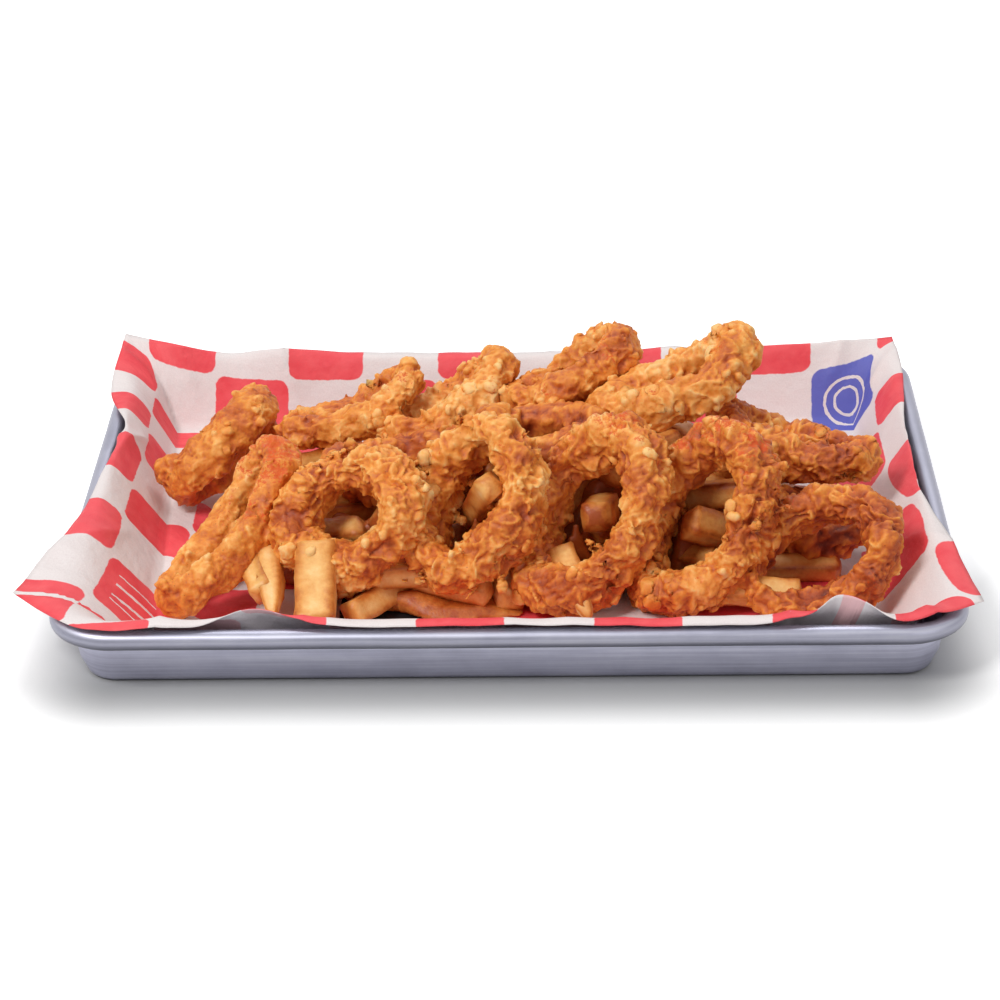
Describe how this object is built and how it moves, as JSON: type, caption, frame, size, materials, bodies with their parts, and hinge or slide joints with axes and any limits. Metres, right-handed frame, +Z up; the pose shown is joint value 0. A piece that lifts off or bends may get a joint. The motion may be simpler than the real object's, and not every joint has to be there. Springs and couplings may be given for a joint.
{
  "type": "onion rings side",
  "caption": "Battered onion rings piled on thick fries over a check-printed paper liner in a rolled-rim aluminium sheet pan.",
  "frame": {"origin": "middle of the pan's flat underside", "axes": "+X along the pan's length, +Y to its back edge, +Z up"},
  "size_m": [0.3471, 0.241, 0.0808],
  "materials": {
    "pan_metal": "brushed, satin",
    "liner_paper": "matt, check printed",
    "batter": "fried batter, uneven, slightly oily",
    "potato": "fried potato, slightly oily"
  },
  "bodies": {
    "root": {"sheet_pan": "pan_metal", "paper_liner": "liner_paper", "fries_bed": "potato", "onion_ring_01": "batter", "onion_ring_02": "batter", "onion_ring_03": "batter", "onion_ring_04": "batter", "onion_ring_05": "batter", "onion_ring_06": "batter", "onion_ring_07": "batter", "onion_ring_08": "batter", "onion_ring_09": "batter", "onion_ring_10": "batter", "onion_ring_11": "batter", "onion_ring_12": "batter", "onion_ring_13": "batter", "onion_ring_14": "batter", "onion_ring_15": "batter"}
  },
  "joints": []
}
